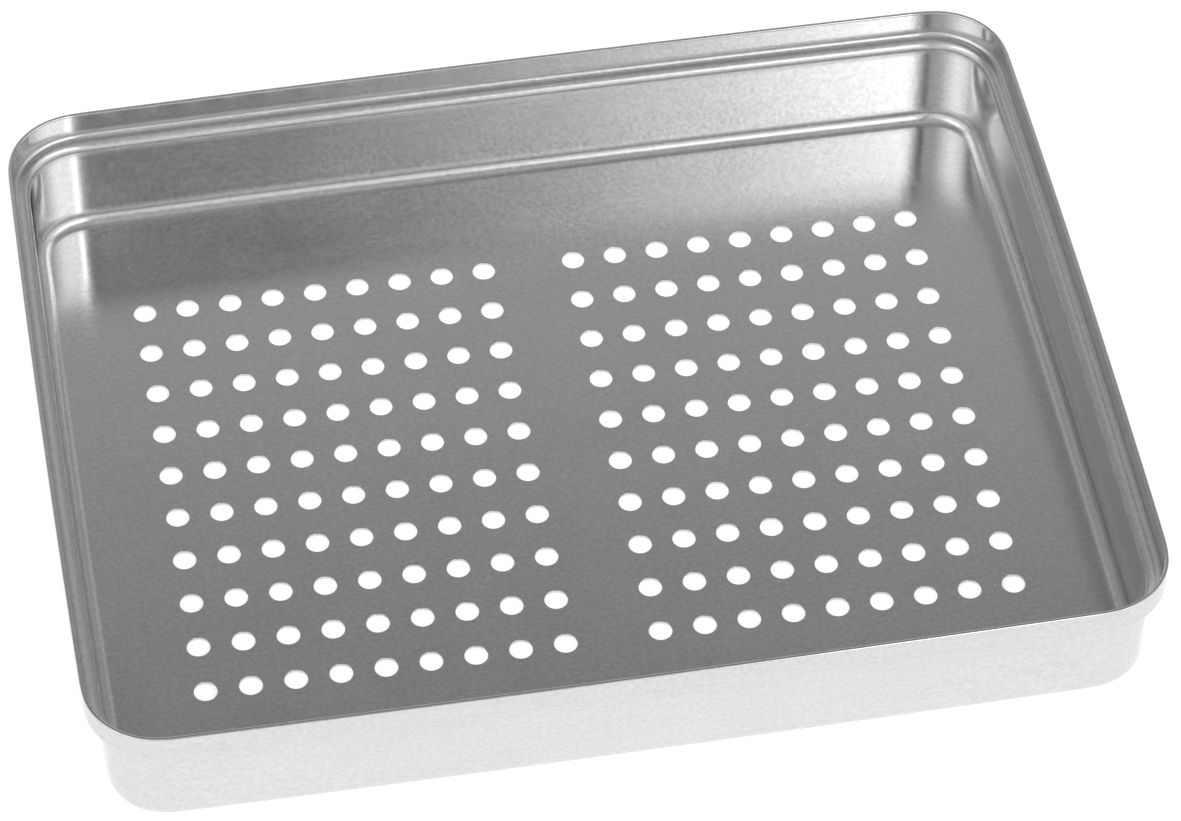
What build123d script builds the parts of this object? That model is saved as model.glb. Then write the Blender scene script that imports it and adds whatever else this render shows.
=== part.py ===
import os

from build123d import *

# A perforated tray, deep drawn from one sheet of stainless steel.
# Origin: centre of the flat underside. +X along the long side, +Z up towards the open top.

# Overall size, measured at the middle of each side, where the sides bow out furthest
length = 184.2
width = 147.0
height = 25.2
sheet = 0.8

# Outline of the rim, seen from above
side_bow = 0.65
corner_radius = 12.8

# Wall section, from the rim down: upright rim, sloping ledge, wall with a little draft, floor
rim_depth = 5.3
ledge_width = 2.65
ledge_drop = 0.5
wall_draft = 0.2
rim_edge_radius = 0.35

# Inside bend radii; the outside of each bend is a sheet's thickness larger or smaller
rim_bend = 1.1
ledge_bend = 1.9
floor_bend = 2.5

# Holes: two equal fields of columns and rows, with a plain strip between them
hole_diameter = 4.0
column_pitch = 7.75
row_pitch = 9.85
columns_per_field = 9
rows = 10
strip_between_fields = 16.5

# Heights of the inside surface
ledge_z = height - rim_depth
wall_top_z = ledge_z - ledge_drop

# Distances inward from the rim's outer face to the inside surface
wall_top_inset = sheet + ledge_width
wall_foot_inset = wall_top_inset + wall_draft
floor_inset = wall_foot_inset + 2 * floor_bend

# The rim's outline: four shallow arcs that meet at the corners, which are then rounded
half_length = length / 2 - side_bow
half_width = width / 2 - side_bow
with BuildSketch() as outline:
    with BuildLine():
        front_left = (-half_length, -half_width)
        front_right = (half_length, -half_width)
        back_right = (half_length, half_width)
        back_left = (-half_length, half_width)
        ThreePointArc(front_left, (0, -width / 2), front_right)
        ThreePointArc(front_right, (length / 2, 0), back_right)
        ThreePointArc(back_right, (0, width / 2), back_left)
        ThreePointArc(back_left, (-length / 2, 0), front_left)
    make_face()
    fillet(outline.vertices(), radius=corner_radius)

rim_path = outline.face().outer_wire()

with BuildPart() as tray_pan:
    # The bent sheet's section, carried once round the rim's outline
    inward = Vector(0, 0, 1).cross(rim_path % 0)
    with BuildSketch(Plane(origin=rim_path @ 0, x_dir=inward, z_dir=inward.cross(Vector(0, 0, 1)))) as section:
        with BuildLine() as inside:
            FilletPolyline(
                (sheet, height),
                (sheet, ledge_z),
                (wall_top_inset, wall_top_z),
                (wall_foot_inset, sheet),
                (floor_inset, sheet),
                radius=(rim_bend, ledge_bend, floor_bend),
            )
            offset(amount=sheet, side=Side.RIGHT)
        make_face()
        fillet(section.vertices().group_by(Axis.Y)[-1], radius=rim_edge_radius)
    sweep(path=rim_path)

    # The flat floor that the section ends on
    with BuildSketch() as floor:
        add(outline.sketch)
        offset(amount=-floor_inset, mode=Mode.REPLACE)
    extrude(amount=sheet)

    # Both hole fields, punched through the floor
    field_length = (columns_per_field - 1) * column_pitch
    field_centre = (strip_between_fields + field_length) / 2
    with BuildSketch() as holes:
        with Locations((-field_centre, 0), (field_centre, 0)):
            with GridLocations(column_pitch, row_pitch, columns_per_field, rows):
                Circle(hole_diameter / 2)
    extrude(amount=sheet, mode=Mode.SUBTRACT)

os.makedirs("parts", exist_ok=True)
tray_pan.part.label = "tray_pan"
export_step(tray_pan.part, "parts/tray_pan.step")
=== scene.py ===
import math

import bpy
from mathutils import Matrix, Vector
from mathutils.geometry import delaunay_2d_cdt


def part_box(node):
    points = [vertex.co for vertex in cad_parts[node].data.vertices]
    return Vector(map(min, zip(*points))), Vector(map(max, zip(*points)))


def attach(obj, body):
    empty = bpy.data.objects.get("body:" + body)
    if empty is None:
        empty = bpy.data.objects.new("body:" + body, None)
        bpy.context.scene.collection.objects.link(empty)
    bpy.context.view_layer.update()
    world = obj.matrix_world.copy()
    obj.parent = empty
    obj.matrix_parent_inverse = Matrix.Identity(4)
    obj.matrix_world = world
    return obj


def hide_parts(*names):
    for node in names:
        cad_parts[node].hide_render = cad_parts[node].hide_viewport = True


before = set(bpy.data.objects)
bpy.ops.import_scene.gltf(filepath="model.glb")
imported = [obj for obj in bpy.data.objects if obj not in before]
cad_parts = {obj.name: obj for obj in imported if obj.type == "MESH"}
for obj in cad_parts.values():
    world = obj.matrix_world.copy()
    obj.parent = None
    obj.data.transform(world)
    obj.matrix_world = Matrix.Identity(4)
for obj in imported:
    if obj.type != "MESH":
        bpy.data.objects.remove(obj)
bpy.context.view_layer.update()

MM = 0.001

# ---------------------------------------------------------------- the tray's sizes, in metres
# The overall size is the frame's own box; the rest repeats the design's driving dimensions.
low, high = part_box("tray_pan")
LENGTH = high.x - low.x
WIDTH = high.y - low.y
HEIGHT = high.z
SHEET = 0.8 * MM

SIDE_BOW = 0.65 * MM
CORNER_RADIUS = 12.8 * MM
CORNER_EASE = 4.5 * MM  # a drawn corner's bend has no sharp ends: it dies away over this much on both sides

RIM_DEPTH = 5.3 * MM
LEDGE_WIDTH = 2.65 * MM
LEDGE_DROP = 0.5 * MM
WALL_DRAFT = 0.2 * MM
RIM_EDGE_RADIUS = 0.35 * MM
RIM_BEND = 1.1 * MM
LEDGE_BEND = 1.9 * MM
FLOOR_BEND = 2.5 * MM

HOLE_RADIUS = 2.0 * MM
COLUMN_PITCH = 7.75 * MM
ROW_PITCH = 9.85 * MM
COLUMNS = 9
ROWS = 10
STRIP = 16.5 * MM
ROLLOVER = 0.15 * MM  # the punch pulls the top edge of each hole down over this radius
BREAKOUT = 0.2 * MM  # and breaks out underneath, where the hole is wider by this much
BREAKOUT_DEPTH = 0.45 * MM

SIDE_STEP = 2.1 * MM  # the spacing of the outline's points along the sides
CORNER_STEP = 0.7 * MM  # and through the corners
BEND_STEPS = 8  # the pieces in each bend of the section
EDGE_STEPS = 4  # in each of the two quarter turns over the rim's edge, and in a hole's rollover
HOLE_STEPS = 28  # and round a hole

LEDGE_Z = HEIGHT - RIM_DEPTH
WALL_TOP_INSET = SHEET + LEDGE_WIDTH
WALL_FOOT_INSET = WALL_TOP_INSET + WALL_DRAFT
FLOOR_INSET = WALL_FOOT_INSET + 2 * FLOOR_BEND


# ---------------------------------------------------------------- the sheet's outline and section
def corner_turned(distance, half, ease):
    """The share of a corner's turn made before a point, given the point's distance past the corner's middle.

    The bend is even for the most part. Over ease on each side of its nominal ends, which are half from the
    middle, it dies away as a smooth step, and the share is the integral of that.
    """
    past = min(abs(distance), half + ease)
    t = max(0.0, past - half + ease) / (2 * ease)
    turned = min(past, half - ease) + 2 * ease * (t - t**3 + t**4 / 2)
    return 0.5 + math.copysign(turned / (2 * half), distance)


def follow_outline(corner, end):
    """A quarter of the outline, followed from the middle of the right side for the length end.

    The sides bend a little all the way, and the corner has its middle at the length corner. Returns the
    points as (x, y, normal x, normal y), and the x and y where the line ends.
    """
    short_bend = 2 * SIDE_BOW / (WIDTH / 2) ** 2
    long_bend = 2 * SIDE_BOW / (LENGTH / 2) ** 2
    turn = math.pi / 2 - corner * short_bend - (end - corner) * long_bend
    half = CORNER_RADIUS * turn / 2

    def turned(distance):
        sides = min(distance, corner) * short_bend + max(distance - corner, 0) * long_bend
        return sides + turn * corner_turned(distance - corner, half, CORNER_EASE)

    x, y = LENGTH / 2, 0.0
    points = []
    at = 0.0
    while at < end:
        in_corner = abs(at - corner) < half + CORNER_EASE
        step = min(CORNER_STEP if in_corner else SIDE_STEP, end - at)
        angle, middle_angle = turned(at), turned(at + step / 2)
        points.append((x, y, math.cos(angle), math.sin(angle)))
        x -= step * math.sin(middle_angle)
        y += step * math.cos(middle_angle)
        at += step
    return points, x, y


def outline_quarter():
    """The rim's outline from the middle of the right side to the middle of the back.

    The two lengths along it aren't known beforehand. Each pass corrects them by what it misses the middle of
    the back by, and they settle in ten passes.
    """
    half_x, half_y = LENGTH / 2, WIDTH / 2
    corner, end = half_y, half_x + half_y
    passes = 12
    for _ in range(passes):
        points, x, y = follow_outline(corner, end)
        corner += half_y - y
        end += half_y - y + x
    return points + [(0.0, half_y, 0.0, 1.0)]


def outline_ring():
    """Points right round the outline: (x, y, normal x, normal y)."""
    quarter = outline_quarter()
    ring = []
    for side_x, side_y in ((1, 1), (-1, 1), (-1, -1), (1, -1)):
        points = quarter[:-1] if side_x == side_y else quarter[:0:-1]
        ring += [(side_x * x, side_y * y, side_x * nx, side_y * ny) for x, y, nx, ny in points]
    return ring


def filleted(points, radii, steps):
    """A line through points with rounded corners.

    Each point is (x, z, normal x, normal z), the normal to the line's left. radii has the radius of each
    corner, and steps the number of pieces in each straight run.
    """
    line = []

    def add(x, z, direction):
        line.append((x, z, -direction[1], direction[0]))

    for i, (start, end) in enumerate(zip(points, points[1:])):
        direction = (Vector(end) - Vector(start)).normalized()
        bend_follows = i < len(points) - 2
        first, last = Vector(start), Vector(end)
        if i > 0:
            first += direction * tangent_length(points, radii, i)
        if bend_follows:
            last -= direction * tangent_length(points, radii, i + 1)
        for step in range(steps[i] + 1):
            at = first.lerp(last, step / steps[i])
            add(at.x, at.y, direction)
        if bend_follows:
            following = (Vector(points[i + 2]) - Vector(end)).normalized()
            turn = math.atan2(direction.cross(following), direction.dot(following))
            side = 1 if turn > 0 else -1
            centre = last + Vector((-direction.y, direction.x)) * side * radii[i]
            for step in range(1, BEND_STEPS):
                angle = turn * step / BEND_STEPS
                spoke = Matrix.Rotation(angle, 2) @ (last - centre)
                heading = Matrix.Rotation(angle, 2) @ direction
                add(centre.x + spoke.x, centre.y + spoke.y, heading)
    return line


def tangent_length(points, radii, i):
    """How far from corner i the fillet's tangent points lie."""
    before = (Vector(points[i]) - Vector(points[i - 1])).normalized()
    after = (Vector(points[i + 1]) - Vector(points[i])).normalized()
    return radii[i - 1] * math.tan(before.angle(after) / 2)


def sheet_section():
    """The bent sheet's section, from the floor's top face up the inside, over the rim and to the underside.

    Each point is (inset, z, normal inward, normal up), the inset measured in from the rim's outer face.
    """
    inside = filleted(
        [
            (FLOOR_INSET, SHEET),
            (WALL_FOOT_INSET, SHEET),
            (WALL_TOP_INSET, LEDGE_Z - LEDGE_DROP),
            (SHEET, LEDGE_Z),
            (SHEET, HEIGHT - RIM_EDGE_RADIUS),
        ],
        radii=[FLOOR_BEND, LEDGE_BEND, RIM_BEND],
        steps=[2, 6, 2, 3],
    )
    # The line runs outward and up, so the normal to its left points into the sheet: turn it round
    inside = [(x, z, -nx, -nz) for x, z, nx, nz in inside]
    # Two quarter turns over the rim's edge. Their ends on the rim's two faces are in the other lists.
    edge = []
    for centre, first_step, last_step in (
        (SHEET - RIM_EDGE_RADIUS, 1, EDGE_STEPS),
        (RIM_EDGE_RADIUS, EDGE_STEPS, 2 * EDGE_STEPS - 1),
    ):
        for step in range(first_step, last_step + 1):
            angle = math.pi / 2 * step / EDGE_STEPS
            x = centre + RIM_EDGE_RADIUS * math.cos(angle)
            z = HEIGHT - RIM_EDGE_RADIUS + RIM_EDGE_RADIUS * math.sin(angle)
            edge.append((x, z, math.cos(angle), math.sin(angle)))
    outside = [(x - SHEET * nx, z - SHEET * nz, -nx, -nz) for x, z, nx, nz in reversed(inside)]
    return inside + edge + outside


# ---------------------------------------------------------------- building the mesh
class SheetMesh:
    """Collects points with their exact normals, and faces."""

    def __init__(self):
        self.points, self.normals, self.faces = [], [], []

    def point(self, place, normal):
        self.points.append(place)
        self.normals.append(normal)
        return len(self.points) - 1

    def strip(self, ring_a, ring_b):
        """Quads between two closed rings of equal length."""
        count = len(ring_a)
        for i in range(count):
            j = (i + 1) % count
            self.faces.append((ring_a[i], ring_a[j], ring_b[j], ring_b[i]))


def add_walls(mesh):
    """The section carried round the outline. Returns the floor's top and bottom edge rings."""
    ring = outline_ring()
    loops = []
    for inset, z, normal_in, normal_up in sheet_section():
        loop = []
        for x, y, nx, ny in ring:
            place = (x - inset * nx, y - inset * ny, z)
            loop.append(mesh.point(place, (-normal_in * nx, -normal_in * ny, normal_up)))
        loops.append(loop)
    for loop_a, loop_b in zip(loops, loops[1:]):
        mesh.strip(loop_b, loop_a)
    return loops[0], loops[-1]


def hole_centres():
    """The holes' axes: two equal fields, with the plain strip between them."""
    for side in (-1, 1):
        for column in range(COLUMNS):
            for row in range(ROWS):
                x = side * (STRIP / 2 + column * COLUMN_PITCH)
                y = (row - (ROWS - 1) / 2) * ROW_PITCH
                yield x, y


def hole_section():
    """The hole's wall from the top face down, as (radius, z, normal away from the axis, normal up)."""
    section = []
    for step in range(EDGE_STEPS + 1):
        angle = math.pi / 2 * step / EDGE_STEPS
        sine, cosine = math.sin(angle), math.cos(angle)
        section.append((HOLE_RADIUS + ROLLOVER * (1 - sine), SHEET - ROLLOVER * (1 - cosine), -sine, cosine))
    # The wall turns into the breakout's cone over the first tenth of the cone
    slope = Vector((BREAKOUT_DEPTH, BREAKOUT)).normalized()
    section.append((HOLE_RADIUS, BREAKOUT_DEPTH, -1, 0))
    for share in (0.1, 1):
        radius, z = HOLE_RADIUS + share * BREAKOUT, (1 - share) * BREAKOUT_DEPTH
        section.append((radius, z, -slope.x, -slope.y))
    return section


def add_holes(mesh):
    """Every punched hole's wall. Returns the rings in the top and bottom faces."""
    tops, bottoms = [], []
    for x, y in hole_centres():
        loops = []
        for radius, z, normal_out, normal_up in hole_section():
            loop = []
            for step in range(HOLE_STEPS):
                angle = 2 * math.pi * step / HOLE_STEPS
                cosine, sine = math.cos(angle), math.sin(angle)
                place = (x + radius * cosine, y + radius * sine, z)
                loop.append(mesh.point(place, (normal_out * cosine, normal_out * sine, normal_up)))
            loops.append(loop)
        for loop_a, loop_b in zip(loops, loops[1:]):
            mesh.strip(loop_a, loop_b)
        tops.append(loops[0])
        bottoms.append(loops[-1])
    return tops, bottoms


def add_plate(mesh, edge_ring, hole_rings, z, up):
    """The flat floor between its edge ring and the hole rings, filled with well-shaped triangles."""
    loops = [edge_ring] + hole_rings
    known = [index for loop in loops for index in loop]
    flat = [Vector(mesh.points[index][:2]) for index in known]
    edges = []
    start = 0
    for loop in loops:
        count = len(loop)
        edges += [(start + i, start + (i + 1) % count) for i in range(count)]
        start += count
    for x, y in lattice_points():
        flat.append(Vector((x, y)))
        known.append(mesh.point((x, y, z), (0, 0, up)))
    inside_edges, tolerance = 1, 1e-7  # the kind of result, and how near to each other two points may be
    places, _, triangles, origins, _, _ = delaunay_2d_cdt(flat, edges, [], inside_edges, tolerance)
    indices = [known[origin[0]] for origin in origins]
    hole_of = {index: number for number, ring in enumerate(hole_rings) for index in ring}
    for triangle in triangles:
        corners = [indices[i] for i in triangle]
        holes = {hole_of.get(corner) for corner in corners}
        if len(holes) == 1 and None not in holes:
            continue  # it would close the hole
        a, b, c = (places[i] for i in triangle)
        area = (b - a).cross(c - a)
        if (area > 0) != (up > 0):
            corners.reverse()
        mesh.faces.append(tuple(corners))


def lattice_points():
    """Points spread over the floor, clear of the holes and of the floor's edge."""
    spacing_x, spacing_y = COLUMN_PITCH / 3, ROW_PITCH / 4
    edge_gap, hole_gap, corner_radius = 2.2 * MM, 0.5 * MM, 4 * MM
    reach_x = LENGTH / 2 - FLOOR_INSET - edge_gap
    reach_y = WIDTH / 2 - FLOOR_INSET - edge_gap
    columns, rows = int(reach_x / spacing_x), int(reach_y / spacing_y)
    clear = HOLE_RADIUS + ROLLOVER + hole_gap
    for i in range(-columns, columns + 1):
        for j in range(-rows, rows + 1):
            x, y = i * spacing_x, j * spacing_y
            into_corner_x = max(0, abs(x) - reach_x + corner_radius)
            into_corner_y = max(0, abs(y) - reach_y + corner_radius)
            inside = math.hypot(into_corner_x, into_corner_y) < corner_radius
            if inside and hole_distance(x, y) > clear:
                yield x, y


def hole_distance(x, y):
    """Distance from the nearest hole's axis."""
    column = min(max(round((abs(x) - STRIP / 2) / COLUMN_PITCH), 0), COLUMNS - 1)
    middle = (ROWS - 1) / 2
    row = min(max(round(y / ROW_PITCH + middle), 0), ROWS - 1)
    return math.hypot(abs(x) - STRIP / 2 - column * COLUMN_PITCH, y - (row - middle) * ROW_PITCH)


def make_tray():
    mesh = SheetMesh()
    top_edge, bottom_edge = add_walls(mesh)
    hole_tops, hole_bottoms = add_holes(mesh)
    add_plate(mesh, top_edge, hole_tops, SHEET, 1)
    add_plate(mesh, bottom_edge, hole_bottoms, 0, -1)
    data = bpy.data.meshes.new("tray_sheet")
    data.from_pydata(mesh.points, [], mesh.faces)
    data.polygons.foreach_set("use_smooth", [True] * len(data.polygons))
    data.normals_split_custom_set_from_vertices(mesh.normals)
    data.validate()
    tray = bpy.data.objects.new("tray_sheet", data)
    bpy.context.scene.collection.objects.link(tray)
    return tray


# ---------------------------------------------------------------- numbers worked out by shader nodes
class Formula:
    """A number worked out by shader nodes, so that a sum of them reads like a formula."""

    def __init__(self, tree, socket):
        self.tree, self.socket = tree, socket

    def math(self, operation, *others, clamp=False):
        node = self.tree.nodes.new("ShaderNodeMath")
        node.operation = operation
        node.use_clamp = clamp
        for slot, value in zip(node.inputs, (self, *others)):
            if isinstance(value, Formula):
                self.tree.links.new(value.socket, slot)
            else:
                slot.default_value = value
        return Formula(self.tree, node.outputs[0])

    def __add__(self, other):
        return self.math("ADD", other)

    def __sub__(self, other):
        return self.math("SUBTRACT", other)

    def __mul__(self, other):
        return self.math("MULTIPLY", other)

    def blend(self, start, end, before, after):
        """The value before up to start and after from end on, and smooth between them."""
        node = self.tree.nodes.new("ShaderNodeMapRange")
        node.interpolation_type = "SMOOTHSTEP"
        self.tree.links.new(self.socket, node.inputs["Value"])
        for name, value in (("From Min", start), ("From Max", end), ("To Min", before), ("To Max", after)):
            node.inputs[name].default_value = value
        return Formula(self.tree, node.outputs["Result"])

    def rises(self, start, end):
        """From 0 to 1."""
        return self.blend(start, end, 0.0, 1.0)

    def falls(self, start, end):
        """From 1 to 0."""
        return self.blend(start, end, 1.0, 0.0)

    def band(self, start, end, soft):
        """1 between start and end, falling to 0 over soft on each side."""
        return self.rises(start - soft, start) * self.falls(end, end + soft)


# ---------------------------------------------------------------- material
def noise(tree, place, stretch, scale, detail):
    """Noise around 0.5, its pattern longer along each axis by that axis's part of stretch."""
    shape = tree.nodes.new("ShaderNodeVectorMath")
    shape.operation = "DIVIDE"
    tree.links.new(place, shape.inputs[0])
    shape.inputs[1].default_value = stretch
    node = tree.nodes.new("ShaderNodeTexNoise")
    node.inputs["Scale"].default_value = scale
    node.inputs["Detail"].default_value = detail
    tree.links.new(shape.outputs[0], node.inputs["Vector"])
    return Formula(tree, node.outputs["Fac"])


def specks(tree, place, spacing, size, share):
    """1 on small specks, in a share of the cells about this spacing wide. size is their radius in cells."""
    node = tree.nodes.new("ShaderNodeTexVoronoi")
    node.inputs["Scale"].default_value = 1 / spacing
    tree.links.new(place, node.inputs["Vector"])
    split = tree.nodes.new("ShaderNodeSeparateColor")
    tree.links.new(node.outputs["Color"], split.inputs[0])
    chosen = Formula(tree, split.outputs[0]).falls(share, share + 0.01)
    return Formula(tree, node.outputs["Distance"]).falls(size * 0.5, size) * chosen


def steel_material():
    """Drawn stainless steel: fine grain, cloudy patches, faint draw lines along the walls, a few specks."""
    material = bpy.data.materials.new("drawn_steel")
    material.use_nodes = True
    tree = material.node_tree
    shader = tree.nodes["Principled BSDF"]
    shader.inputs["Metallic"].default_value = 1
    shader.inputs["Anisotropic"].default_value = 0.55

    coords = tree.nodes.new("ShaderNodeTexCoord")
    place = coords.outputs["Object"]
    split = tree.nodes.new("ShaderNodeSeparateXYZ")
    tree.links.new(place, split.inputs[0])
    height = Formula(tree, split.outputs["Z"])
    geometry = tree.nodes.new("ShaderNodeNewGeometry")
    facing = tree.nodes.new("ShaderNodeSeparateXYZ")
    tree.links.new(geometry.outputs["Normal"], facing.inputs[0])
    is_wall = Formula(tree, facing.outputs["Z"]).math("ABSOLUTE").falls(0.2, 0.7)

    clouds = noise(tree, place, stretch=(1, 1, 0.6), scale=55, detail=3) - 0.5
    grain = noise(tree, place, stretch=(1.2, 1, 1), scale=1500, detail=1) - 0.5
    lines = (noise(tree, place, stretch=(40, 40, 1), scale=700, detail=1) - 0.5) * is_wall
    # Drawing leaves the sheet duller where it was bent: at the floor's edge and at the ledge
    floor_bend = height.band(1.2 * MM, 3.2 * MM, soft=1.0 * MM)
    ledge = height.band(LEDGE_Z - 2.2 * MM, LEDGE_Z + 0.9 * MM, soft=0.8 * MM)
    dust = specks(tree, place, spacing=6 * MM, size=0.045, share=0.35) * floor_bend
    pits = specks(tree, place, spacing=13 * MM, size=0.022, share=0.3)

    plain_grey = 0.62
    shade = clouds * 0.05 + grain * 0.16 + lines * 0.03 + dust * 0.25 - pits * 0.15
    value = shade.math("ADD", plain_grey, clamp=True)
    tone = tree.nodes.new("ShaderNodeCombineColor")
    for channel in tone.inputs:
        tree.links.new(value.socket, channel)
    tree.links.new(tone.outputs[0], shader.inputs["Base Color"])

    plain_roughness = 0.13
    uneven = clouds * 0.05 + grain * 0.05 + lines * 0.03 + dust * 0.3
    roughness = uneven + floor_bend * 0.08 + ledge * 0.12 + plain_roughness
    tree.links.new(roughness.socket, shader.inputs["Roughness"])

    # The grain runs along X, so reflections blur across it: along Y on the floor, and up and down the walls
    across = tree.nodes.new("ShaderNodeCombineXYZ")
    across.inputs["Y"].default_value = 0.3
    across.inputs["Z"].default_value = 1
    tree.links.new(across.outputs[0], shader.inputs["Tangent"])

    relief = tree.nodes.new("ShaderNodeBump")
    relief.inputs["Strength"].default_value = 0.17
    relief.inputs["Distance"].default_value = 0.02 * MM
    tree.links.new((grain + lines * 0.15).socket, relief.inputs["Height"])
    tree.links.new(relief.outputs[0], shader.inputs["Normal"])
    return material


# ---------------------------------------------------------------- stage: floor, light, camera
def make_floor():
    bpy.ops.mesh.primitive_circle_add(vertices=96, radius=3, fill_type="NGON", location=(0, 0, 0))
    floor = bpy.context.object
    floor.name = "pale_floor"
    material = bpy.data.materials.new("pale_floor")
    material.use_nodes = True
    shader = material.node_tree.nodes["Principled BSDF"]
    shader.inputs["Base Color"].default_value = (0.85, 0.85, 0.85, 1)
    shader.inputs["Roughness"].default_value = 0.9
    shader.inputs["Specular IOR Level"].default_value = 0.1
    shader.inputs["Emission Color"].default_value = (1, 1, 1, 1)
    shader.inputs["Emission Strength"].default_value = 0.56
    floor.data.materials.append(material)


# The studio's lights are formulas of a direction in degrees: its azimuth, from the front (-Y) towards the
# right (+X), and its elevation. A leaning edge is given by its azimuth at this elevation.
LEAN_ELEVATION = 44.0


def room_behind(azimuth, elevation):
    """The dim room behind: darker higher up, and lighter straight behind low down."""
    glow = elevation.blend(41, 54, 0.3, 0.0) * azimuth.math("ABSOLUTE").rises(140, 160)
    return glow + elevation.blend(41, 52, 0.38, 0.2)


def wall_in_front(azimuth, elevation):
    """The pale wall in front: dimmer higher up, with a dark gap that leans to the right as it goes up."""
    lean = 0.55  # degrees to the side for each degree up
    across = azimuth - (elevation - LEAN_ELEVATION) * lean
    gap = across.rises(0.6, 3.0) * across.falls(5.8, 8.1) * elevation.band(26, 60, soft=10)
    return elevation.blend(44, 52, 0.92, 0.56) * (gap * -0.95 + 1.0)


def light_on_right(azimuth, elevation):
    """A wide light at half height: a faint fringe, a steep edge where it is brightest, and a long fade."""
    lean = 0.25
    across = azimuth - (elevation - LEAN_ELEVATION) * lean
    edge = across.rises(7.0, 10.8) * 0.12 + across.rises(12.3, 13.2) * 4.0
    light = edge - azimuth.rises(14.0, 21) * 2.55
    return light * azimuth.falls(46, 100) * elevation.band(35, 49, soft=6)


def light_on_left(azimuth, elevation):
    """A soft light at half height."""
    return azimuth.falls(-62, -12) * azimuth.rises(-122, -62) * elevation.band(38, 52, soft=8) * 1.3


def make_world():
    """A pale studio: a wall in front, a light on each side, and a dim room behind."""
    world = bpy.data.worlds.new("studio")
    world.use_nodes = True
    tree = world.node_tree
    coords = tree.nodes.new("ShaderNodeTexCoord")
    split = tree.nodes.new("ShaderNodeSeparateXYZ")
    tree.links.new(coords.outputs["Generated"], split.inputs[0])
    x, y, z = (Formula(tree, split.outputs[axis]) for axis in "XYZ")
    azimuth = x.math("ARCTAN2", y * -1.0) * math.degrees(1)
    elevation = z.math("ARCSINE") * math.degrees(1)

    is_behind = azimuth.math("ABSOLUTE").rises(88, 116)
    is_in_front = is_behind * -1.0 + 1.0
    walls = room_behind(azimuth, elevation) * is_behind + wall_in_front(azimuth, elevation) * is_in_front
    light = walls + light_on_right(azimuth, elevation) + light_on_left(azimuth, elevation)
    background = tree.nodes["Background"]
    background.inputs["Color"].default_value = (1, 1, 1, 1)
    tree.links.new(light.socket, background.inputs["Strength"])
    bpy.context.scene.world = world


def make_camera():
    """A long lens from the front left, about 48 degrees up."""
    azimuth, elevation, roll = math.radians(10.01), math.radians(48.27), math.radians(0.18)
    aim = Vector((5.07, 7.5, 0.8)) * MM
    distance = 935.8 * MM
    forward = Vector((
        math.cos(elevation) * math.sin(azimuth),
        math.cos(elevation) * math.cos(azimuth),
        -math.sin(elevation),
    ))
    level = forward.cross(Vector((0, 0, 1))).normalized()
    upright = level.cross(forward)
    right = level * math.cos(roll) + upright * math.sin(roll)
    up = upright * math.cos(roll) - level * math.sin(roll)
    data = bpy.data.cameras.new("camera")
    data.lens = 160.39
    data.sensor_width = 36
    data.clip_start = 0.05
    camera = bpy.data.objects.new("camera", data)
    matrix = Matrix((right, up, -forward)).transposed().to_4x4()
    matrix.translation = aim - forward * distance
    camera.matrix_world = matrix
    bpy.context.scene.collection.objects.link(camera)
    bpy.context.scene.camera = camera


def build():
    bpy.context.scene.view_settings.view_transform = "Standard"
    make_world()
    make_floor()
    make_camera()
    tray = make_tray()
    tray.data.materials.append(steel_material())
    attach(tray, "root")
    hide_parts("tray_pan")


build()
